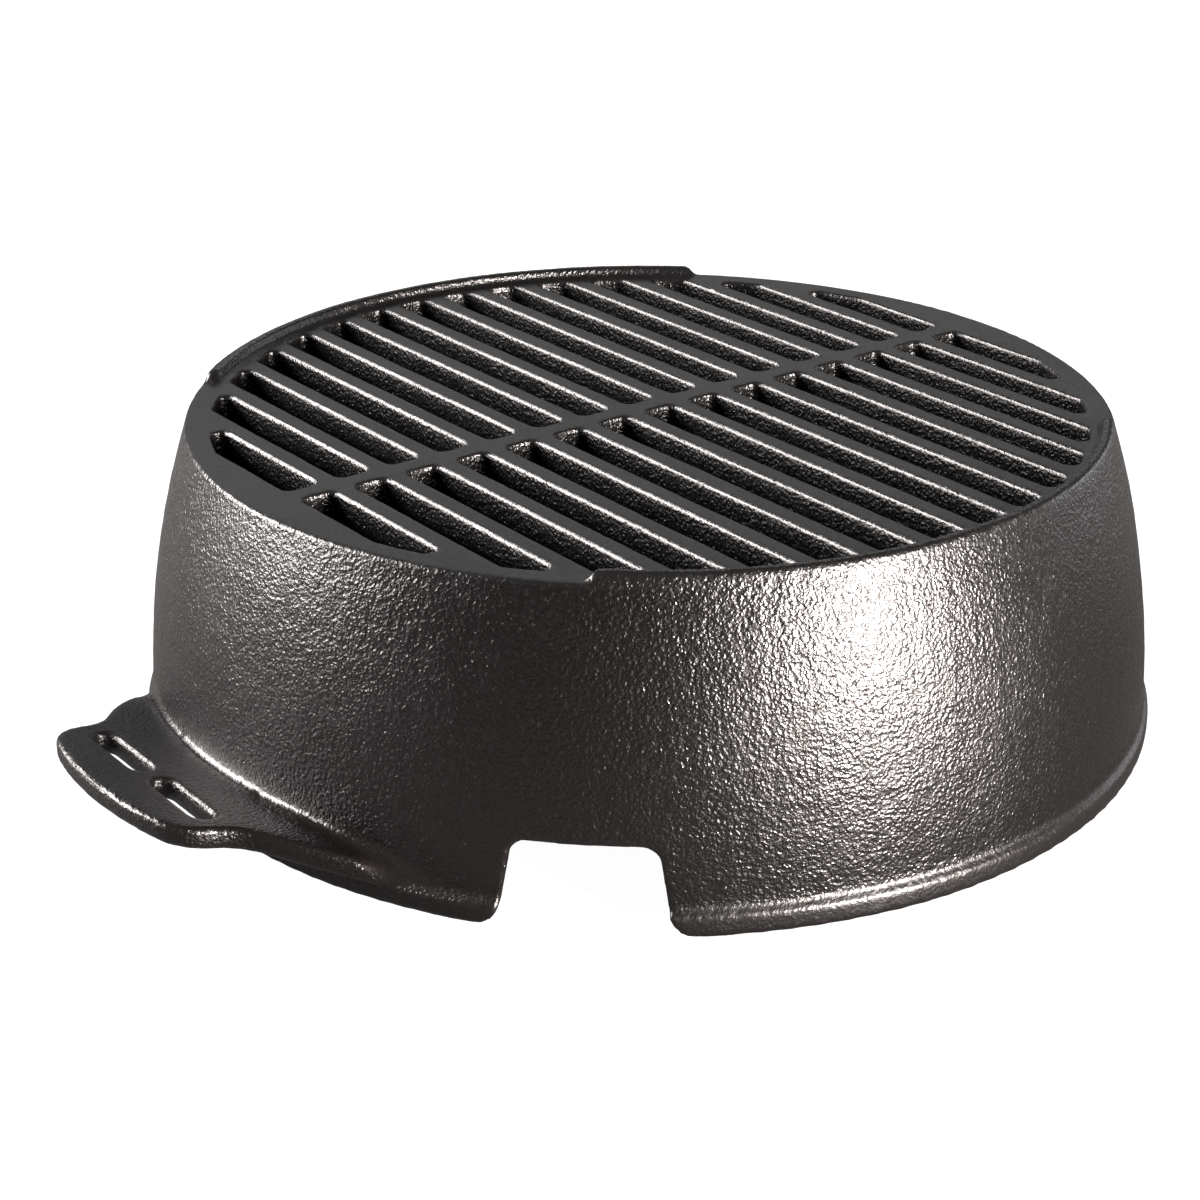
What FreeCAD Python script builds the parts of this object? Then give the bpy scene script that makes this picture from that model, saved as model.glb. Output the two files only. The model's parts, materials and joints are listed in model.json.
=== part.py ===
"""Round cast-iron hibachi: an open-bottomed fire body, a cooking grate on top and a charcoal grate inside.

Frame: origin at the centre of the rim that the grill stands on, +Z up, +X through the two handles,
+Y along the slots of the cooking grate. Millimetres.
"""
import FreeCAD, Part
import math
import os
from FreeCAD import Vector

# Fire body: a barrel-shaped wall, wide end down, on a beaded rim
RIM_RADIUS = 153.3
RIM_ROUND = 1.4
BEAD_HEIGHT = 8.0
WALL_FOOT_RADIUS = 151.4
WALL_MID_RADIUS = 148.1
WALL_MID_Z = 46.4
WALL_THICKNESS = 6.0
SEAT_SHOULDER_DROP = 4.0

# Cooking grate: a slotted plate whose bevelled edge lies flush with the top of the wall
GRATE_TOP_Z = 92.1
GRATE_TOP_RADIUS = 136.7
GRATE_THICKNESS = 9.0
SEAM_DROP = 1.0
SEAT_INNER_RADIUS = 131.4
SLOT_PITCH = 16.8
SLOT_WIDTH = 10.6
SLOT_CORNER = 2.6
SLOTS_EACH_SIDE = 7
CROSS_BAR_WIDTH = 7.0
SLOT_END_RADIUS = 129.6

# Raised lips: two low walls on the grate, across the ends of the slots; the angles turn the +Y one into place
LIP_HEIGHT = 3.2
LIP_TOP_WIDTH = 3.0
LIP_FOOT_WIDTH = 4.4
LIP_ANGLES = (0.0, 180.0)
LIP_HALF_ANGLE = 45.0
LIP_END_RAMP = 3.0

# Keys under the grate's edge, over the handles, which stop it turning
KEY_WIDTH = 8.0
KEY_INNER_RADIUS = 129.0
KEY_OUTER_RADIUS = 134.0
KEY_DEPTH = 3.0
KEY_CLEARANCE = 0.4
KEY_ROOT_OVERLAP = 3.0

# Draught notches in the rim, opposite each other and between handle and slot direction
NOTCH_ANGLES = (45.7, 225.7)
NOTCH_BOTTOM_WIDTH = 46.6
NOTCH_TOP_WIDTH = 38.0
NOTCH_HEIGHT = 25.2
NOTCH_ROUND = 5.0
NOTCH_FOOT_ROUND = 8.0

# Handles: flat tabs cast on the wall above the bead, rising outwards
HANDLE_ANGLES = (0.0, 180.0)
HANDLE_ROOT_Z = 18.2
HANDLE_RISE = 0.22
HANDLE_THICKNESS = 6.5
HANDLE_REACH = 189.0
HANDLE_END = (182.8, 36.4)
HANDLE_END_ROUND = 13.0
HANDLE_WAIST = (166.0, 39.2)
HANDLE_WAIST_ROUND = 16.0
HANDLE_SHOULDER = (150.5, 57.0)
HANDLE_FOOT = (128.0, 72.0)
HANDLE_FLAT_HALF_WIDTH = 42.0
HANDLE_DROOP_RADIUS = 85.0
HANDLE_EDGE_ROUND = 1.2
FINGER_SLOT_REACH = 170.8
FINGER_SLOT_WIDTH = 6.8
FINGER_SLOT_LENGTH = 28.0
FINGER_SLOT_OFFSET = 16.9

# Charcoal grate: a loose disc on four ribs inside the wall, its slots across those of the cooking grate
REST_ANGLES = (0.0, 90.0, 180.0, 270.0)
REST_WIDTH = 8.0
REST_TOP_Z = 38.0
REST_TOP_INNER_RADIUS = 117.0
REST_NOSE_HEIGHT = 6.0
REST_FOOT_INNER_RADIUS = 136.0
COAL_GRATE_RADIUS = 124.0
COAL_GRATE_THICKNESS = 6.5
COAL_SLOT_PITCH = 16.0
COAL_SLOT_WIDTH = 7.0
COAL_SLOTS_EACH_SIDE = 6
COAL_SLOT_CORNER = 2.5
COAL_SLOT_END_RADIUS = 112.0
COAL_BAR_WIDTH = 9.0

# Helper solids: how far they run past what they cut or meet, and the length of those that go right through
SPARE = 5.0
THROUGH = 60.0
TOLERANCE = 0.01

UP = Vector(0, 0, 1)
CENTRE = Vector(0, 0, 0)


def revolved(edges):
    """Solid of revolution about Z from the closed outline that the edges make in the XZ plane."""
    return Part.Face(Part.Wire(edges)).revolve(CENTRE, UP, 360)


def line(a, b):
    return Part.LineSegment(a, b).toShape()


def arc(a, middle, b):
    return Part.Arc(a, middle, b).toShape()


def outline(points):
    """Closed face through points that lie in one plane."""
    return Part.Face(Part.makePolygon(list(points) + [points[0]]))


def turned(shape, angle):
    copy = shape.copy()
    copy.rotate(CENTRE, UP, angle)
    return copy


def edges_centred_at(shape, points):
    """The edges of a shape whose middles are at the points."""
    return [e for e in shape.Edges if any((e.CenterOfMass - p).Length < TOLERANCE for p in points)]


def wall_circle():
    """Centre radius, centre height and radius of the arc that the wall's outside follows."""
    foot = Vector(WALL_FOOT_RADIUS, 0, BEAD_HEIGHT)
    middle = Vector(WALL_MID_RADIUS, 0, WALL_MID_Z)
    top = Vector(GRATE_TOP_RADIUS, 0, GRATE_TOP_Z)
    circle = Part.Arc(foot, middle, top).toShape().Curve
    return circle.Center.x, circle.Center.z, circle.Radius


ARC_X, ARC_Z, ARC_RADIUS = wall_circle()


def wall_point(z, depth=0.0):
    """Point of the wall's section at height z, depth inside the outer surface."""
    radius = ARC_RADIUS - depth
    return Vector(ARC_X + math.sqrt(radius ** 2 - (z - ARC_Z) ** 2), 0, z)


SEAT_BOTTOM_Z = GRATE_TOP_Z - GRATE_THICKNESS
SHOULDER_Z = SEAT_BOTTOM_Z - SEAT_SHOULDER_DROP
SEAM_Z = GRATE_TOP_Z - SEAM_DROP


def wall_shell():
    """Barrel wall with its rim bead, open below, and the bevelled seat for the grate at the top."""
    rim_inner = wall_point(0, WALL_THICKNESS)
    shoulder = wall_point(SHOULDER_Z, WALL_THICKNESS)
    seat_inner = Vector(SEAT_INNER_RADIUS, 0, SEAT_BOTTOM_Z)
    bead_bottom = Vector(RIM_RADIUS - RIM_ROUND, 0, 0)
    bead_low = Vector(RIM_RADIUS, 0, RIM_ROUND)
    bead_high = Vector(RIM_RADIUS, 0, BEAD_HEIGHT - RIM_ROUND)
    bead_top = wall_point(BEAD_HEIGHT)
    sagitta = RIM_ROUND * (1 - math.sqrt(0.5))
    return revolved([
        line(rim_inner, bead_bottom),
        arc(bead_bottom, Vector(RIM_RADIUS - sagitta, 0, sagitta), bead_low),
        line(bead_low, bead_high),
        line(bead_high, bead_top),
        arc(bead_top, wall_point(WALL_MID_Z), wall_point(SEAM_Z)),
        line(wall_point(SEAM_Z), seat_inner),
        line(seat_inner, shoulder),
        arc(shoulder, wall_point(WALL_MID_Z, WALL_THICKNESS), rim_inner),
    ])


def cavity():
    """Space inside the wall up to its shoulder, to trim what is added to the wall's outside."""
    rim_inner = wall_point(0, WALL_THICKNESS)
    shoulder = wall_point(SHOULDER_Z, WALL_THICKNESS)
    below_rim = Vector(rim_inner.x, 0, -SPARE)
    axis_low = Vector(0, 0, -SPARE)
    axis_high = Vector(0, 0, SHOULDER_Z)
    return revolved([
        line(axis_low, below_rim),
        line(below_rim, rim_inner),
        arc(rim_inner, wall_point(WALL_MID_Z, WALL_THICKNESS), shoulder),
        line(shoulder, axis_high),
        line(axis_high, axis_low),
    ])


def notch_cutter():
    """Trapezium with rounded corners, narrow end up, driven through one side of the wall along +X."""
    start = RIM_RADIUS - THROUGH / 2
    bottom = NOTCH_BOTTOM_WIDTH / 2
    top = NOTCH_TOP_WIDTH / 2
    skirt = bottom + 2 * NOTCH_FOOT_ROUND
    section = [(-skirt, -SPARE), (skirt, -SPARE), (skirt, 0), (bottom, 0), (top, NOTCH_HEIGHT),
               (-top, NOTCH_HEIGHT), (-bottom, 0), (-skirt, 0)]
    prism = outline([Vector(start, y, z) for y, z in section]).extrude(Vector(THROUGH, 0, 0))
    for y, z, radius in ((bottom, 0, NOTCH_FOOT_ROUND), (top, NOTCH_HEIGHT, NOTCH_ROUND)):
        middles = [Vector(start + THROUGH / 2, side * y, z) for side in (1, -1)]
        prism = prism.makeFillet(radius, edges_centred_at(prism, middles))
    return prism


def handle_height(reach):
    """Height of a handle's flat upper face at a distance along X from the centre."""
    return HANDLE_ROOT_Z + HANDLE_RISE * (reach - RIM_RADIUS)


def handle_normal():
    return Vector(-HANDLE_RISE, 0, 1).normalize()


def handle_slab():
    """Sheet as thick as a handle that rises outwards, flat in the middle, its sides drooping to the bead."""
    foot_y = HANDLE_FOOT[1] + SPARE
    start = HANDLE_FOOT[0] - SPARE
    rise = Vector(1, 0, HANDLE_RISE) * (HANDLE_REACH + SPARE - start)
    upper, lower = [], []
    for side in (-1, 1):
        points = []
        for y in (HANDLE_FLAT_HALF_WIDTH, (HANDLE_FLAT_HALF_WIDTH + foot_y) / 2, foot_y):
            run = y - HANDLE_FLAT_HALF_WIDTH
            droop = HANDLE_DROOP_RADIUS - math.sqrt(HANDLE_DROOP_RADIUS ** 2 - run ** 2)
            points.append(Vector(start, side * y, handle_height(start) - droop))
        upper.append(points)
        lower.append([p - UP * HANDLE_THICKNESS for p in points])
    edges = []
    for curve in (upper, lower):
        edges += [arc(*curve[0]), line(curve[0][0], curve[1][0]), arc(*curve[1])]
    edges += [line(upper[side][2], lower[side][2]) for side in (0, 1)]
    return Part.Face(Part.Wire(Part.__sortEdges__(edges))).extrude(rise)


def handle_outline():
    """Upright prism of a handle's plan: bowed end, waist, and shoulders that run back into the wall."""
    def corner(point, side):
        return Vector(point[0], side * point[1], 0)

    edges = [arc(corner(HANDLE_END, -1), Vector(HANDLE_REACH, 0, 0), corner(HANDLE_END, 1)),
             line(corner(HANDLE_FOOT, 1), corner(HANDLE_FOOT, -1))]
    for side in (1, -1):
        waist = corner(HANDLE_WAIST, side)
        edges.append(line(corner(HANDLE_END, side), waist))
        edges.append(arc(waist, corner(HANDLE_SHOULDER, side), corner(HANDLE_FOOT, side)))
    prism = Part.Face(Part.Wire(Part.__sortEdges__(edges))).extrude(UP * THROUGH)
    for point, radius in ((HANDLE_END, HANDLE_END_ROUND), (HANDLE_WAIST, HANDLE_WAIST_ROUND)):
        middles = [corner(point, side) + UP * (THROUGH / 2) for side in (1, -1)]
        prism = prism.makeFillet(radius, edges_centred_at(prism, middles))
    return prism


def is_upright(edge):
    """True of an edge that only crosses the handle's thickness."""
    return edge.BoundBox.XLength < HANDLE_EDGE_ROUND and edge.BoundBox.YLength < TOLERANCE


def handle():
    """Tab that rises outwards from the wall, with two finger slots end to end and rounded edges."""
    plate = handle_slab().common(handle_outline())
    for side in (1, -1):
        plate = plate.cut(finger_slot(side * FINGER_SLOT_OFFSET))
    rims = [e for e in plate.Edges if e.BoundBox.XMax > HANDLE_FOOT[0] + TOLERANCE and not is_upright(e)]
    return plate.makeFillet(HANDLE_EDGE_ROUND, rims)


def finger_slot(y):
    """Round-ended slot through a handle, square to its face, its length along Y."""
    normal = handle_normal()
    radius = FINGER_SLOT_WIDTH / 2
    length = 4 * HANDLE_THICKNESS
    base = Vector(FINGER_SLOT_REACH, y, handle_height(FINGER_SLOT_REACH)) - normal * (length / 2)
    across = normal.cross(Vector(0, 1, 0)) * radius
    along = Vector(0, FINGER_SLOT_LENGTH / 2 - radius, 0)
    corners = [base + along + across, base - along + across, base - along - across, base + along - across]
    block = outline(corners).extrude(normal * length)
    ends = [Part.makeCylinder(radius, length, base + side * along, normal) for side in (1, -1)]
    return block.fuse(ends)


def coal_rest():
    """Buttress inside the wall on the +X side, whose flat top carries the charcoal grate."""
    outer = wall_point(REST_TOP_Z, WALL_THICKNESS / 2).x
    section = [Vector(REST_TOP_INNER_RADIUS, 0, REST_TOP_Z), Vector(outer, 0, REST_TOP_Z),
               Vector(outer, 0, 0), Vector(REST_FOOT_INNER_RADIUS, 0, 0),
               Vector(REST_TOP_INNER_RADIUS, 0, REST_TOP_Z - REST_NOSE_HEIGHT)]
    rest = outline(section).extrude(Vector(0, REST_WIDTH, 0))
    rest.translate(Vector(0, -REST_WIDTH / 2, 0))
    return rest


def key_block(clearance=0.0):
    """Block under the grate's edge on the +X side; with a clearance it is the pocket that takes the block."""
    inner = KEY_INNER_RADIUS - clearance
    length = KEY_OUTER_RADIUS + clearance - inner
    width = KEY_WIDTH + 2 * clearance
    low = SEAT_BOTTOM_Z - KEY_DEPTH - clearance
    height = SEAT_BOTTOM_Z + KEY_ROOT_OVERLAP - low
    return Part.makeBox(length, width, height, Vector(inner, -width / 2, low))


def fire_body():
    """Wall with its handles, ribs and notches, and a pocket over each handle for a key of the grate."""
    body = wall_shell()
    for angle in HANDLE_ANGLES:
        body = body.fuse(turned(handle().cut(cavity()), angle))
    for angle in REST_ANGLES:
        body = body.fuse(turned(coal_rest(), angle))
    for angle in NOTCH_ANGLES:
        body = body.cut(turned(notch_cutter(), angle))
    for angle in HANDLE_ANGLES:
        body = body.cut(turned(key_block(KEY_CLEARANCE), angle))
    return body.removeSplitter()


def slot_row(slots_each_side, pitch, width, bar_width, end_radius, corner, low_z, high_z):
    """Cutters for parallel slots on both sides of a cross bar along X, each ending on one circle."""
    low = low_z - SPARE
    rise = UP * (high_z + SPARE - low)
    limit = Part.makeCylinder(end_radius, rise.Length, UP * low)
    cutters = []
    for index in range(-slots_each_side, slots_each_side + 1):
        left = index * pitch - width / 2
        right = index * pitch + width / 2
        for side in (1, -1):
            near = side * bar_width / 2
            far = side * end_radius
            section = [Vector(left, near, low), Vector(right, near, low),
                       Vector(right, far, low), Vector(left, far, low)]
            block = outline(section).extrude(rise).common(limit)
            uprights = [e for e in block.Edges if max(e.BoundBox.XLength, e.BoundBox.YLength) < TOLERANCE]
            cutters.append(block.makeFillet(corner, uprights))
    return Part.makeCompound(cutters)


def lip():
    """Low wall on the grate's edge on the +Y side, its outside flush with the wall, its ends ramped."""
    top_z = GRATE_TOP_Z + LIP_HEIGHT
    base_outer = wall_point(SEAM_Z)
    top_outer = wall_point(top_z)
    top_inner = top_outer - Vector(LIP_TOP_WIDTH, 0, 0)
    foot_inner = Vector(GRATE_TOP_RADIUS - LIP_FOOT_WIDTH, 0, GRATE_TOP_Z)
    base_inner = Vector(foot_inner.x, 0, SEAM_Z)
    face = Part.Face(Part.Wire([
        line(base_inner, base_outer),
        arc(base_outer, wall_point((SEAM_Z + top_z) / 2), top_outer),
        line(top_outer, top_inner),
        line(top_inner, foot_inner),
        line(foot_inner, base_inner),
    ]))
    face.rotate(CENTRE, UP, 90 - LIP_HALF_ANGLE)
    ring = face.revolve(CENTRE, UP, 2 * LIP_HALF_ANGLE)
    start = GRATE_TOP_RADIUS - THROUGH / 2
    for side in (1, -1):
        section = [(0, GRATE_TOP_Z), (LIP_END_RAMP, top_z + TOLERANCE), (LIP_END_RAMP, top_z + SPARE),
                   (-SPARE, top_z + SPARE), (-SPARE, GRATE_TOP_Z)]
        ramp = outline([Vector(start, side * y, z) for y, z in section]).extrude(Vector(THROUGH, 0, 0))
        ring = ring.cut(turned(ramp, 90 - side * LIP_HALF_ANGLE))
    return ring


def cooking_grate():
    """Slotted plate with a bevelled edge, a key under it over each handle, and the two lips cast on top."""
    seat_inner = Vector(SEAT_INNER_RADIUS, 0, SEAT_BOTTOM_Z)
    seat_outer = wall_point(SEAM_Z)
    top_outer = Vector(GRATE_TOP_RADIUS, 0, GRATE_TOP_Z)
    axis_low = Vector(0, 0, SEAT_BOTTOM_Z)
    axis_high = Vector(0, 0, GRATE_TOP_Z)
    plate = revolved([
        line(axis_low, seat_inner),
        line(seat_inner, seat_outer),
        line(seat_outer, top_outer),
        line(top_outer, axis_high),
        line(axis_high, axis_low),
    ])
    for angle in HANDLE_ANGLES:
        plate = plate.fuse(turned(key_block(), angle))
    plate = plate.cut(slot_row(SLOTS_EACH_SIDE, SLOT_PITCH, SLOT_WIDTH, CROSS_BAR_WIDTH, SLOT_END_RADIUS,
                               SLOT_CORNER, SEAT_BOTTOM_Z, GRATE_TOP_Z))
    for angle in LIP_ANGLES:
        plate = plate.fuse(turned(lip(), angle))
    return plate.removeSplitter()


def charcoal_grate():
    """Flat slotted disc that lies loose on the ribs."""
    top_z = REST_TOP_Z + COAL_GRATE_THICKNESS
    disc = Part.makeCylinder(COAL_GRATE_RADIUS, COAL_GRATE_THICKNESS, UP * REST_TOP_Z)
    slots = slot_row(COAL_SLOTS_EACH_SIDE, COAL_SLOT_PITCH, COAL_SLOT_WIDTH, COAL_BAR_WIDTH,
                     COAL_SLOT_END_RADIUS, COAL_SLOT_CORNER, REST_TOP_Z, top_z)
    return disc.cut(turned(slots, 90)).removeSplitter()


def main():
    os.makedirs("parts", exist_ok=True)
    nodes = {"fire_body": fire_body(), "cooking_grate": cooking_grate(), "charcoal_grate": charcoal_grate()}
    for name, shape in nodes.items():
        print(name, len(shape.Solids), "solid", shape.isValid(), round(shape.Volume / 1000, 1), "cm3")
        shape.Solids[0].exportStep("parts/%s.step" % name)


main()
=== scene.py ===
import json
import math

import bmesh
import bpy
import numpy as np
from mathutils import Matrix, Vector

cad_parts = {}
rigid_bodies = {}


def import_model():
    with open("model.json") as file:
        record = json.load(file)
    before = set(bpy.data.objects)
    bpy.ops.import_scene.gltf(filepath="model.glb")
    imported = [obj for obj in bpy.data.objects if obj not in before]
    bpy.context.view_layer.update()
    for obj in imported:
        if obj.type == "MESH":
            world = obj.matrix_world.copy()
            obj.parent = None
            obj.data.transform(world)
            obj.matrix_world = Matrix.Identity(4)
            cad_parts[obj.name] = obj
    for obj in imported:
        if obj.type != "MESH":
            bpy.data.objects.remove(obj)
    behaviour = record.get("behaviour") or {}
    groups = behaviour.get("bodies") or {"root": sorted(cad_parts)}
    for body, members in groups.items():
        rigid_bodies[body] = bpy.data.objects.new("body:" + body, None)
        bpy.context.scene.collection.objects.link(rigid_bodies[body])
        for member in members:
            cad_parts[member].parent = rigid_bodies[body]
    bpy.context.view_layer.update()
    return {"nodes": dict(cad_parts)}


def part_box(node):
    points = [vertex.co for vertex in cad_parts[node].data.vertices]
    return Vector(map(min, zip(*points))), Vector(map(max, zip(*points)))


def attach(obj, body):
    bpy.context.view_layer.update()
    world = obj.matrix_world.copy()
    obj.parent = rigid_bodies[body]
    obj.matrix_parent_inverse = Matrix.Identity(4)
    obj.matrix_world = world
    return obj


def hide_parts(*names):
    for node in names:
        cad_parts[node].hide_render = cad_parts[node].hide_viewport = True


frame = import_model()
MM = 0.001

# The casting's sizes that the looks need, in millimetres and degrees, as in the CAD model
WALL_PROFILE = ((8.0, 151.4), (46.4, 148.1), (92.1, 136.7))
SEAT_INNER_RADIUS = 131.4
SEAT_BOTTOM_Z = 83.1
SEAM_RADIUS = 137.03
SEAM_Z = 91.1
GRATE_TOP_Z = 92.1
BEAD_TOP_Z = 8.0
RIM_RADIUS = 153.3
LIP_HALF_ANGLE = 45.0
KEY_X = (129.0, 134.0)
KEY_HALF_WIDTH = 4.0
KEY_LOW_Z = 80.1
KEY_CLEARANCE = 0.4
HANDLE_ROOT_Z = 18.2
HANDLE_RISE = 0.22
HANDLE_FLAT_HALF_WIDTH = 42.0
HANDLE_DROOP_RADIUS = 85.0

# The castings' skin: sizes in millimetres, passes of rounding, and sand noise as (feature size, height)
CASTING_VOXEL = 0.8
COAL_VOXEL = 1.2
CASTING_SAND = ((24.0, 0.10), (6.0, 0.04), (2.4, 0.05))
COAL_SAND = ((18.0, 0.15), (4.0, 0.1))
CREASE_ANGLE = 50.0
EDGE_PASSES = 4
CORNER_PASSES = 40
CORNER_REACH = 6.0
# Reach of the fillet at each handle's root that the edge mask lightens, a painted highlight
PAINTED_HIGHLIGHT_REACH = 6.5
SEAT_EDGE_REACH = 3.0
# Reach above and below the handles of the painted shade
PAINTED_SHADE_REACH = 18.0
TOP_EDGE = 0.8
GROUND_DEPTH = 0.5

# The tool that parts the grate from the fire body: how far it runs under the grate and past the casting
LID_UNDERCUT = 1.2
LID_STEP = 0.6
LID_SPARE = 15.0
LID_HEIGHT = 30.0
KEY_ROOT = 2.0

# Iron: the size of its patches in metres, and shares from 0 to 1
PATCH_SIZE = 0.035
PEEL_LOST = 0.88
# Lightening by the edge mask: wear on rounded edges, and a painted highlight in the handle-root fillets
EDGE_WEAR_AND_HIGHLIGHT = 0.6
# Darkening by the dulling mask: painted shade on and round the handles, and darker slot walls and inside
DULLING_AND_SHADE_TINT = 0.6
CLEAN_SPECULAR = 0.5
DULLED_SPECULAR = 0.17

# Stage: sizes in metres, angles in degrees from +X towards +Y and up from the floor, power in watts
FLOOR_HALF = 3.0
FLOOR_TONE = 0.15
FLOOR_GLOW = 0.98
WORLD_LIGHT = 0.12
AIM_HEIGHT = 0.05
LAMPS = (
    # name, azimuth, elevation, distance, size, power, colour
    ("key", -82, 4, 1.3, (0.34, 0.55), 125, (1.0, 0.91, 0.87)),
    ("left", 138, 19, 1.5, (1.1, 0.6), 75, (1.0, 0.94, 0.92)),
    ("edges", 116, 30, 1.7, (0.7, 0.4), 12, (1.0, 0.96, 0.95)),
    ("right", -8, 4, 1.8, (1.0, 0.7), 6, (1.0, 1.0, 1.0)),
    ("back", 53, 26, 2.2, (2.0, 0.5), 4, (1.0, 1.0, 1.0)),
)
CAMERA_REACH = 0.71516
CAMERA_HEIGHT = 0.3434
CAMERA_AZIMUTH = -128.3
CAMERA_DIP = 23.79
CAMERA_TURN = -37.135
LENS = 76.085
SENSOR = 36.0

# ---------------------------------------------------------------- meshes


def new_object(name, data):
    """An object in the scene that holds a mesh, a lamp or a camera."""
    made = bpy.data.objects.new(name, data)
    bpy.context.scene.collection.objects.link(made)
    return made


def applied(piece, name):
    """A new object whose mesh is the piece's with its modifiers applied; the piece is removed."""
    graph = bpy.context.evaluated_depsgraph_get()
    mesh = bpy.data.meshes.new_from_object(piece.evaluated_get(graph), depsgraph=graph)
    mesh.name = name
    bpy.data.objects.remove(piece)
    return new_object(name, mesh)


def joined(name, meshes):
    """One object that holds copies of several meshes."""
    graph = bmesh.new()
    for mesh in meshes:
        graph.from_mesh(mesh)
    mesh = bpy.data.meshes.new(name)
    graph.to_mesh(mesh)
    graph.free()
    return new_object(name, mesh)


def block(low, high):
    """Mesh of a box between two corners given in millimetres."""
    graph = bmesh.new()
    bmesh.ops.create_cube(graph, size=1.0)
    for vertex in graph.verts:
        vertex.co = [MM * (a + (b - a) * (c + 0.5)) for a, b, c in zip(low, high, vertex.co)]
    mesh = bpy.data.meshes.new("block")
    graph.to_mesh(mesh)
    graph.free()
    return mesh


def lathe(profile, segments=360):
    """Closed mesh turned about Z from (radius, height) in millimetres, the first and last on the axis."""
    angles = np.arange(segments) * 2 * math.pi / segments
    rings = [[(MM * r * math.cos(a), MM * r * math.sin(a), MM * z) for a in angles]
             for r, z in profile[1:-1]]
    points = [p for ring in rings for p in ring]
    faces = []
    for k in range(len(rings) - 1):
        for i in range(segments):
            j = (i + 1) % segments
            low, high = k * segments, (k + 1) * segments
            faces.append((low + i, low + j, high + j, high + i))
    first, last = len(points), len(points) + 1
    points += [(0, 0, MM * profile[0][1]), (0, 0, MM * profile[-1][1])]
    top = (len(rings) - 1) * segments
    for i in range(segments):
        j = (i + 1) % segments
        faces.append((first, j, i))
        faces.append((last, top + i, top + j))
    mesh = bpy.data.meshes.new("lathe")
    mesh.from_pydata(points, [], faces)
    return mesh


def cut(piece, name, operation, tool):
    """The piece after one boolean step with the tool, which stays."""
    step = piece.modifiers.new(operation, "BOOLEAN")
    step.operation = operation
    step.solver = "MANIFOLD"
    step.object = tool
    return applied(piece, name)


def remeshed(piece, name, voxel):
    """An even quad skin over everything that the piece's mesh encloses."""
    skin = piece.modifiers.new("skin", "REMESH")
    skin.mode = "VOXEL"
    skin.voxel_size = voxel
    made = applied(piece, name)
    made.data.materials.clear()
    return made


def points_of(mesh):
    flat = np.empty(len(mesh.vertices) * 3, np.float32)
    mesh.vertices.foreach_get("co", flat)
    return flat.reshape(-1, 3).astype(np.float64)


def put_points(mesh, points):
    mesh.vertices.foreach_set("co", points.astype(np.float32).ravel())
    mesh.update()


def normals_of(mesh):
    flat = np.empty(len(mesh.vertices) * 3, np.float32)
    mesh.vertex_normals.foreach_get("vector", flat)
    return flat.reshape(-1, 3).astype(np.float64)


def put_attribute(mesh, name, values):
    layer = mesh.attributes.new(name, "FLOAT", "POINT")
    layer.data.foreach_set("value", values.astype(np.float32))


def relaxed(mesh, points, passes, weight):
    """Rounds edges and corners: each pass moves every point towards the middle of its neighbours."""
    ends = np.empty(len(mesh.edges) * 2, np.int32)
    mesh.edges.foreach_get("vertices", ends)
    moving = weight > 0
    a, b = ends.reshape(-1, 2).T
    near = moving[a] | moving[b]
    a, b = a[near], b[near]
    count = np.maximum(np.bincount(a, minlength=len(points)) + np.bincount(b, minlength=len(points)), 1)
    share = 0.5 * weight[:, None]
    for _ in range(passes):
        total = np.stack([np.bincount(a, points[b, k], len(points))
                          + np.bincount(b, points[a, k], len(points)) for k in range(3)], axis=1)
        points = np.where(moving[:, None], points + share * (total / count[:, None] - points), points)
    return points


def lattice_noise(points, size, seed):
    """Smooth value noise from -1 to 1 with features of one size, from a hash of each lattice point."""
    q = points / size + 100.0 * seed
    base = np.floor(q).astype(np.int64)
    t = q - base
    t = t * t * (3 - 2 * t)
    total = np.zeros(len(points))
    for dx in (0, 1):
        for dy in (0, 1):
            for dz in (0, 1):
                x, y, z = base[:, 0] + dx, base[:, 1] + dy, base[:, 2] + dz
                h = (x * 73856093) ^ (y * 19349663) ^ (z * 83492791) ^ (seed * 2654435761)
                h = (h ^ (h >> 13)) * 1274126177 & 0x7FFFFFFF
                weight = np.abs(1 - dx - t[:, 0]) * np.abs(1 - dy - t[:, 1]) * np.abs(1 - dz - t[:, 2])
                total += (h / 0x7FFFFFFF * 2 - 1) * weight
    return total


def sand_cast(mesh, layers, share):
    """Moves the skin along its normals by noise, given as (feature size, height) pairs in millimetres."""
    points = points_of(mesh)
    height = np.zeros(len(points))
    for seed, (size, amount) in enumerate(layers, start=1):
        height += MM * amount * lattice_noise(points, MM * size, seed)
    put_points(mesh, points + normals_of(mesh) * (height * share)[:, None])


def shade(mesh):
    """Smooth shading, broken at creases."""
    graph = bmesh.new()
    graph.from_mesh(mesh)
    limit = math.radians(CREASE_ANGLE)
    for face in graph.faces:
        face.smooth = True
    for edge in graph.edges:
        edge.smooth = edge.calc_face_angle(0.0) < limit
    graph.to_mesh(mesh)
    graph.free()


# ---------------------------------------------------------------- materials


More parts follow.
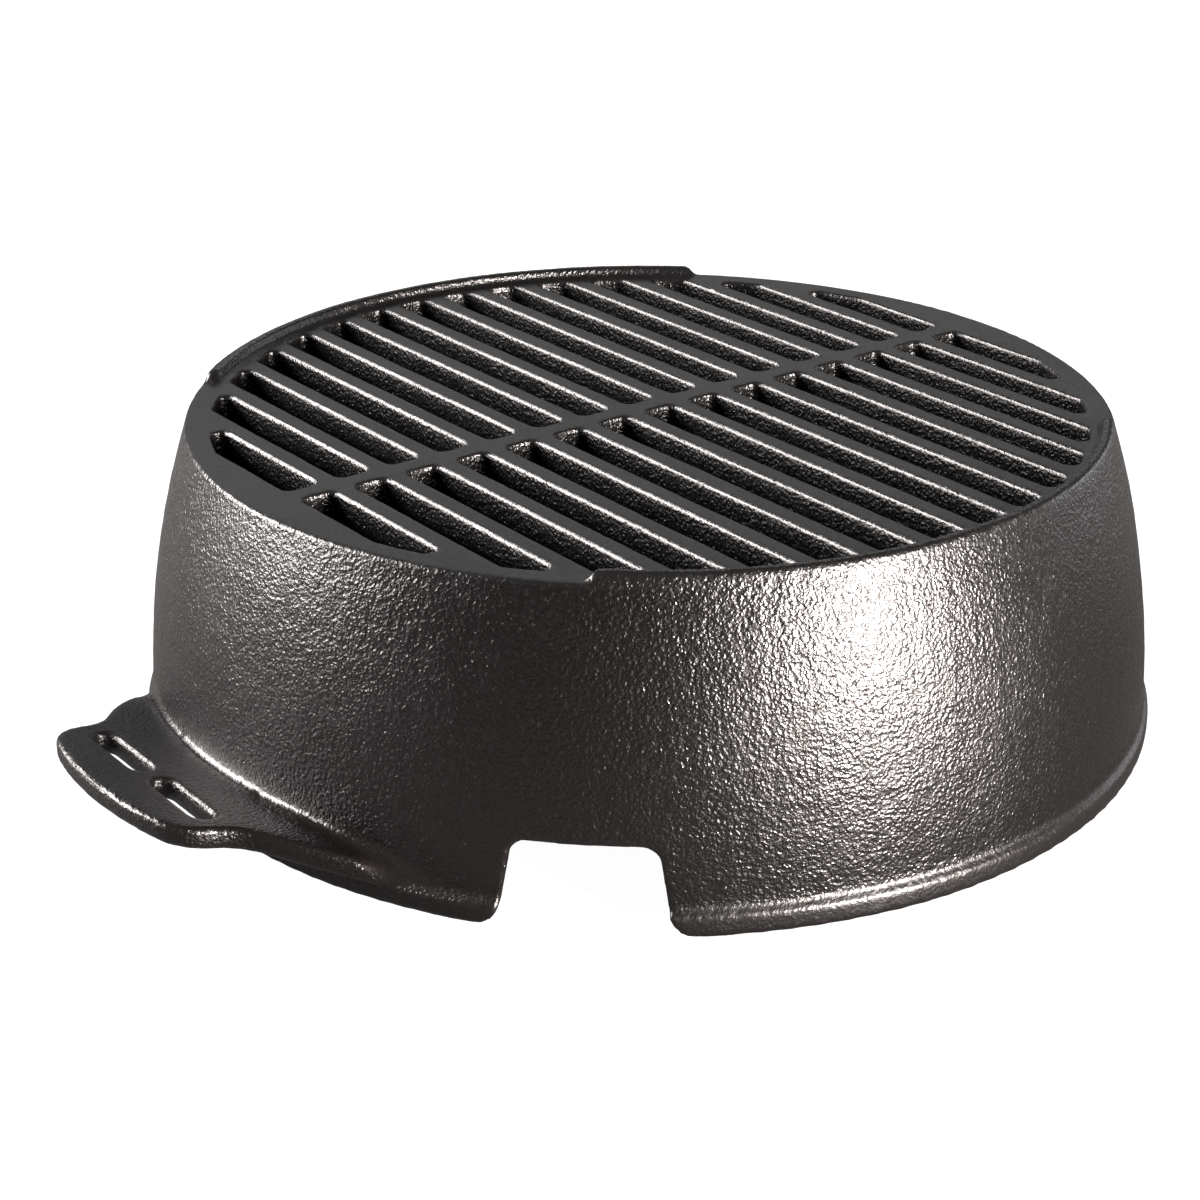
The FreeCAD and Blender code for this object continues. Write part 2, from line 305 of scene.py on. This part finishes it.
class Nodes:
    """Short calls for building one material's node tree."""

    def __init__(self, name):
        self.material = bpy.data.materials.new(name)
        self.material.use_nodes = True
        self.tree = self.material.node_tree
        self.shader = next(n for n in self.tree.nodes if n.type == "BSDF_PRINCIPLED")

    def add(self, kind, **values):
        node = self.tree.nodes.new(kind)
        for key, value in values.items():
            setattr(node, key, value)
        return node

    def link(self, source, target):
        self.tree.links.new(source, target)

    def where(self):
        return self.add("ShaderNodeTexCoord").outputs["Object"]

    def attribute(self, name):
        return self.add("ShaderNodeAttribute", attribute_name=name).outputs["Fac"]

    def noise(self, place, size, detail=3.0, rough=0.55):
        node = self.add("ShaderNodeTexNoise")
        node.inputs["Scale"].default_value = 1.0 / size
        node.inputs["Detail"].default_value = detail
        node.inputs["Roughness"].default_value = rough
        self.link(place, node.inputs["Vector"])
        return node.outputs["Fac"]

    def ramp(self, value, low, high, to_low, to_high):
        node = self.add("ShaderNodeMapRange")
        for key, limit in (("From Min", low), ("From Max", high), ("To Min", to_low), ("To Max", to_high)):
            node.inputs[key].default_value = limit
        self.link(value, node.inputs["Value"])
        return node.outputs["Result"]

    def maths(self, operation, a, b):
        node = self.add("ShaderNodeMath", operation=operation)
        for socket, value in ((node.inputs[0], a), (node.inputs[1], b)):
            if isinstance(value, (int, float)):
                socket.default_value = value
            else:
                self.link(value, socket)
        return node.outputs[0]

    def blend(self, amount, a, b):
        node = self.add("ShaderNodeMix", data_type="RGBA")
        for socket, value in ((node.inputs[0], amount), (node.inputs[6], a), (node.inputs[7], b)):
            if isinstance(value, (int, float, tuple)):
                socket.default_value = value
            else:
                self.link(value, socket)
        return node.outputs[2]

    def bump(self, height, distance, strength, under=None):
        node = self.add("ShaderNodeBump")
        node.inputs["Strength"].default_value = strength
        node.inputs["Distance"].default_value = distance
        self.link(height, node.inputs["Height"])
        if under is not None:
            self.link(under, node.inputs["Normal"])
        return node.outputs["Normal"]


def iron(name, dark, light, rough, peel, peel_height, grain_height):
    """Cast iron: peel skin from the sand mould, darker in its pits, with fine grain on it. The peel is gone
    where the skin is ground or an edge is rounded. Rounded edges are lighter from wear, and the fillets at
    the handle roots are lighter as a painted highlight. A mask darkens and dulls the slot walls and the
    inside, and paints shade on and round the handles."""
    n = Nodes(name)
    place = n.where()
    skin = n.noise(place, peel, 1.5, 0.5)
    worms = n.maths("ABSOLUTE", n.maths("SUBTRACT", n.noise(place, peel * 1.4, 1.0, 0.5), 0.5), 0.0)
    relief = n.maths("SUBTRACT", skin, n.maths("MULTIPLY", worms, 1.2))
    grain = n.noise(place, peel / 4, 2.0, 0.6)
    patches = n.noise(place, PATCH_SIZE, 4.0, 0.6)
    ground, edge, dulling_and_shade = n.attribute("ground"), n.attribute("edge"), n.attribute("dulling_and_shade")
    cast = n.maths("SUBTRACT", 1.0, n.maths("MULTIPLY", n.maths("MAXIMUM", ground, edge), PEEL_LOST))
    cast = n.maths("ADD", cast, dulling_and_shade)
    mottle = n.maths("MULTIPLY", patches, skin)
    tone = n.blend(n.ramp(mottle, 0.1, 0.45, 0.0, 1.0), dark, light)
    # Edges lighter: wear on rounded edges, and a painted highlight along the fillet at each handle's root
    worn_and_highlight_tone = tuple(3 * c for c in light[:3]) + (1,)
    tone = n.blend(n.maths("MULTIPLY", edge, EDGE_WEAR_AND_HIGHLIGHT), tone, worn_and_highlight_tone)
    # Darker towards black by the dulling mask, which is painted shade on and round the handles
    n.link(n.blend(n.maths("MULTIPLY", dulling_and_shade, DULLING_AND_SHADE_TINT), tone, (0, 0, 0, 1)), n.shader.inputs["Base Color"])
    gloss = n.ramp(n.maths("ADD", patches, relief), 0.4, 1.0, rough + 0.08, rough - 0.06)
    finish = n.maths("SUBTRACT", n.maths("MULTIPLY", ground, 0.14), n.maths("MULTIPLY", edge, 0.08))
    finish = n.maths("ADD", finish, n.maths("MULTIPLY", dulling_and_shade, 0.1))
    n.link(n.maths("ADD", gloss, finish), n.shader.inputs["Roughness"])
    low = n.bump(n.maths("MULTIPLY", relief, cast), peel_height, 1.0)
    n.link(n.bump(grain, grain_height, 1.0, low), n.shader.inputs["Normal"])
    n.link(n.ramp(dulling_and_shade, 0.0, 1.0, CLEAN_SPECULAR, DULLED_SPECULAR), n.shader.inputs["Specular IOR Level"])
    return n.material


WALL_IRON = iron("seasoned_wall", (0.0008, 0.0006, 0.0006, 1), (0.0026, 0.0021, 0.002, 1),
                 rough=0.33, peel=1.1 * MM, peel_height=0.30 * MM, grain_height=0.02 * MM)
GRATE_IRON = iron("seasoned_grate", (0.0014, 0.0013, 0.0013, 1), (0.0036, 0.0034, 0.0033, 1),
                  rough=0.34, peel=1.1 * MM, peel_height=0.30 * MM, grain_height=0.02 * MM)
COAL_IRON = iron("dry_coal_grate", (0.012, 0.0105, 0.0095, 1), (0.03, 0.027, 0.025, 1),
                 rough=0.7, peel=1.8 * MM, peel_height=0.3 * MM, grain_height=0.05 * MM)

# ---------------------------------------------------------------- pieces


def wall_radius(z):
    """Outer radius of the wall at heights in millimetres."""
    heights, radii = zip(*WALL_PROFILE)
    return np.polyval(np.polyfit(heights, radii, 2), z)


def handle_height(x, y):
    """Height of a handle's upper face, in millimetres: flat in the middle, drooping towards its sides."""
    run = np.clip(np.abs(y) - HANDLE_FLAT_HALF_WIDTH, 0, HANDLE_DROOP_RADIUS)
    droop = HANDLE_DROOP_RADIUS - np.sqrt(HANDLE_DROOP_RADIUS ** 2 - run ** 2)
    return HANDLE_ROOT_Z + HANDLE_RISE * (np.abs(x) - RIM_RADIUS) - droop


def near_handle_root(points, reach):
    """1 on the inner corner between a handle and the wall, falling to 0 at a reach in millimetres."""
    x, y, z = (points / MM).T
    away = np.hypot(np.hypot(x, y) - wall_radius(z), z - handle_height(x, y))
    above_bead = np.clip((z - BEAD_TOP_Z) / 2 + 1, 0, 1)
    return np.clip(1.5 - 1.5 * away / reach, 0, 1) * (np.abs(x) > np.abs(y)) * above_bead


def ground_top(points, normals):
    """1 on the flat top of the cooking grate, which is smoother than the cast skin round it, else 0."""
    z = points[:, 2] / MM
    return np.clip((normals[:, 2] - 0.75) / 0.2, 0, 1) * (np.abs(z - GRATE_TOP_Z) < GROUND_DEPTH)


def smooth_skin(points):
    """Above 0 where the sand skin is fainter: on the bead, and less so on the handles."""
    x, y, z = (points / MM).T
    reach = np.hypot(x, y)
    bead = np.clip((BEAD_TOP_Z + 1.5 - z) / 1.5, 0, 1) * (reach > RIM_RADIUS - 4.3)
    return np.maximum(0.6 * bead, 0.3 * np.clip((reach - RIM_RADIUS - 0.7) / 3, 0, 1))


def dulling_and_painted_shade(points, normals):
    """Above 0 where the skin is darker and duller: 1 on the side walls of the cooking grate's slots and
    inside the wall, and less on the handles and on the wall just above and below them, where it is painted
    shade."""
    x, y, z = (points / MM).T
    reach = np.hypot(x, y)
    outside = reach > wall_radius(z) - 3
    slots = (z > SEAT_BOTTOM_Z - 2) * (z < GRATE_TOP_Z - TOP_EDGE) * (reach < SEAT_INNER_RADIUS)
    inside = (z <= SEAT_BOTTOM_Z - 2) * ~outside
    # Painted shade: darker on the handles and on the wall just above and below them
    handles = 0.5 * np.clip(1 - np.abs(z - handle_height(x, y)) / PAINTED_SHADE_REACH, 0, 1)
    handles *= (np.abs(x) > np.abs(y)) * outside
    return np.clip(1.5 * np.abs(normals[:, 0]) - 0.4, 0, 1) * slots + inside + handles


def crisp_rim(points):
    """1 on the outer top edge between the lips, which stays crisp, else 0."""
    x, y, z = (points / MM).T
    between = np.abs(np.degrees(np.arctan2(y, np.abs(x)))) < 90 - LIP_HALF_ANGLE
    return ((np.hypot(x, y) > SEAM_RADIUS - 2.5) & (z > SEAM_Z - 1.5) & between).astype(float)


def seat_edge(points):
    """1 round the inner edge of the seat, where the skin is not rounded, to keep the cut clean, else 0."""
    x, y, z = (points / MM).T
    away = np.maximum(np.abs(np.hypot(x, y) - SEAT_INNER_RADIUS), np.abs(z - SEAT_BOTTOM_Z))
    return (away < SEAT_EDGE_REACH).astype(float)


def raw_casting(voxel):
    """Fire body and cooking grate as one skin, so that the outside runs on across their seam. Plugs fill the
    gap round the keys, which the lid tool cuts again."""
    half = KEY_HALF_WIDTH + 1
    plugs = [block((side * (KEY_X[1] - 1.8), -half, SEAT_BOTTOM_Z - 2),
                   (side * (KEY_X[1] + 0.9), half, GRATE_TOP_Z - 4)) for side in (1, -1)]
    whole = joined("raw", [frame["nodes"][n].data for n in ("fire_body", "cooking_grate")] + plugs)
    whole = remeshed(whole, "raw", voxel)
    mesh = whole.data
    points = points_of(mesh)
    sharp = points.copy()
    points = relaxed(mesh, points, EDGE_PASSES, (1 - 0.5 * crisp_rim(points)) * (1 - seat_edge(points)))
    points = relaxed(mesh, points, CORNER_PASSES, near_handle_root(points, CORNER_REACH))
    put_points(mesh, points)
    normals = normals_of(mesh)
    lost = np.einsum("ij,ij->i", points - sharp, normals) / MM
    ground = np.maximum(ground_top(points, normals), smooth_skin(points))
    # The edge mask lightens the colour: wear on rounded edges, and a painted highlight along the handle-root
    # fillets
    edge = np.maximum(np.clip(-lost * 4, 0, 1), 0.8 * near_handle_root(points, PAINTED_HIGHLIGHT_REACH))
    sand_cast(mesh, CASTING_SAND, 1 - 0.9 * ground)
    put_attribute(mesh, "ground", ground)
    put_attribute(mesh, "edge", edge)
    # Darker and duller mask, painted shade near the handles; kept off the edges so the painted highlight at
    # the handle roots stays bright
    put_attribute(mesh, "dulling_and_shade", dulling_and_painted_shade(points, normals) * (1 - edge))
    return whole


def lid_tool(name, keys):
    """Everything above the bevelled seat, a little under the grate within it, and blocks at the keys."""
    slope = (SEAM_Z - SEAT_BOTTOM_Z) / (SEAM_RADIUS - SEAT_INNER_RADIUS)
    low, high = SEAT_BOTTOM_Z - LID_UNDERCUT, GRATE_TOP_Z + LID_HEIGHT
    far = SEAM_RADIUS + LID_SPARE
    profile = ((0, low), (SEAT_INNER_RADIUS - LID_STEP, low), (SEAT_INNER_RADIUS, SEAT_BOTTOM_Z),
               (far, SEAM_Z + slope * LID_SPARE), (far, high), (0, high))
    tool = new_object(name, lathe(profile))
    for key in keys:
        tool = cut(tool, name, "UNION", new_object("key", key))
    return tool


def key_blocks(clearance):
    """Meshes of the two keys under the grate, larger by a clearance."""
    corners = ((KEY_X[0] - clearance, -KEY_HALF_WIDTH - clearance, KEY_LOW_Z - clearance),
               (KEY_X[1] + clearance, KEY_HALF_WIDTH + clearance, SEAT_BOTTOM_Z + KEY_ROOT))
    made = []
    for side in (1, -1):
        low, high = [list(c) for c in corners]
        low[0], high[0] = sorted((side * low[0], side * high[0]))
        made.append(block(low, high))
    return made


def stand_for(piece, node, material):
    """Gives the piece its material and puts it in the place of a CAD node, on the node's body."""
    shade(piece.data)
    piece.data.materials.clear()
    piece.data.materials.append(material)
    piece.data.polygons.foreach_set("material_index", [0] * len(piece.data.polygons))
    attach(piece, node)
    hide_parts(node)


def castings():
    """The one skin, parted into the fire body and the cooking grate."""
    whole = raw_casting(MM * CASTING_VOXEL)
    twin = new_object("twin", whole.data.copy())
    pockets = lid_tool("pockets", key_blocks(KEY_CLEARANCE))
    lid = lid_tool("lid", key_blocks(0.0))
    body = cut(whole, "fire_body_casting", "DIFFERENCE", pockets)
    grate = cut(twin, "cooking_grate_casting", "INTERSECT", lid)
    for tool in [o for o in bpy.data.objects if o.name.startswith(("pockets", "lid", "key"))]:
        bpy.data.objects.remove(tool)
    stand_for(body, "fire_body", WALL_IRON)
    stand_for(grate, "cooking_grate", GRATE_IRON)


def coal_grate():
    """The charcoal grate with its edges softened and a coarser sand skin."""
    piece = joined("rough", [frame["nodes"]["charcoal_grate"].data])
    piece = remeshed(piece, "charcoal_grate_casting", MM * COAL_VOXEL)
    mesh = piece.data
    points = points_of(mesh)
    put_points(mesh, relaxed(mesh, points, 2, np.ones(len(points))))
    sand_cast(mesh, COAL_SAND, 1.0)
    stand_for(piece, "charcoal_grate", COAL_IRON)


castings()
coal_grate()

# ---------------------------------------------------------------- stage, lights, camera


def floor():
    """Pale floor that looks white to the camera, and that the casting's gloss mirrors as a dim one."""
    mesh = bpy.data.meshes.new("floor")
    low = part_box("fire_body")[0].z
    corners = ((-1, -1), (1, -1), (1, 1), (-1, 1))
    mesh.from_pydata([(x * FLOOR_HALF, y * FLOOR_HALF, low) for x, y in corners], [], [(0, 1, 2, 3)])
    made = new_object("floor", mesh)
    n = Nodes("pale_floor")
    n.shader.inputs["Base Color"].default_value = (FLOOR_TONE, FLOOR_TONE, FLOOR_TONE, 1)
    n.shader.inputs["Roughness"].default_value = 0.9
    n.shader.inputs["Specular IOR Level"].default_value = 0.1
    n.shader.inputs["Emission Color"].default_value = (1, 1, 1, 1)
    seen = n.add("ShaderNodeLightPath").outputs["Is Camera Ray"]
    n.link(n.ramp(seen, 0.0, 1.0, 0.0, FLOOR_GLOW), n.shader.inputs["Emission Strength"])
    mesh.materials.append(n.material)


def softbox(name, azimuth, elevation, distance, size, power, colour):
    """Area light aimed at the middle of the grill, unseen by the camera."""
    lamp = bpy.data.lights.new(name, "AREA")
    lamp.shape = "RECTANGLE"
    lamp.size, lamp.size_y = size
    lamp.energy = power
    lamp.color = colour
    made = new_object(name, lamp)
    a, e = math.radians(azimuth), math.radians(elevation)
    target = Vector((0, 0, AIM_HEIGHT))
    direction = Vector((math.cos(a) * math.cos(e), math.sin(a) * math.cos(e), math.sin(e)))
    made.location = target + direction * distance
    made.rotation_euler = direction.to_track_quat("Z", "Y").to_euler()
    made.visible_camera = False


def backdrop():
    """White world to the camera, and a dimmer one as light."""
    world = bpy.data.worlds.new("studio")
    bpy.context.scene.world = world
    world.use_nodes = True
    tree = world.node_tree
    background = next(n for n in tree.nodes if n.type == "BACKGROUND")
    path = tree.nodes.new("ShaderNodeLightPath")
    level = tree.nodes.new("ShaderNodeMapRange")
    level.inputs["To Min"].default_value = WORLD_LIGHT
    level.inputs["To Max"].default_value = 1.0
    tree.links.new(path.outputs["Is Camera Ray"], level.inputs["Value"])
    tree.links.new(level.outputs["Result"], background.inputs["Strength"])
    background.inputs["Color"].default_value = (1, 1, 1, 1)


def camera():
    """Looks at the grill over a handle and a notch, slightly from above."""
    lens = bpy.data.cameras.new("camera")
    lens.sensor_width = SENSOR
    lens.lens = LENS
    made = new_object("camera", lens)
    azimuth = math.radians(CAMERA_AZIMUTH)
    made.location = (CAMERA_REACH * math.cos(azimuth), CAMERA_REACH * math.sin(azimuth), CAMERA_HEIGHT)
    made.rotation_euler = (math.radians(90 - CAMERA_DIP), 0, math.radians(CAMERA_TURN))
    bpy.context.scene.camera = made


floor()
backdrop()
camera()
for lamp in LAMPS:
    softbox(*lamp)
bpy.context.scene.view_settings.view_transform = "Standard"
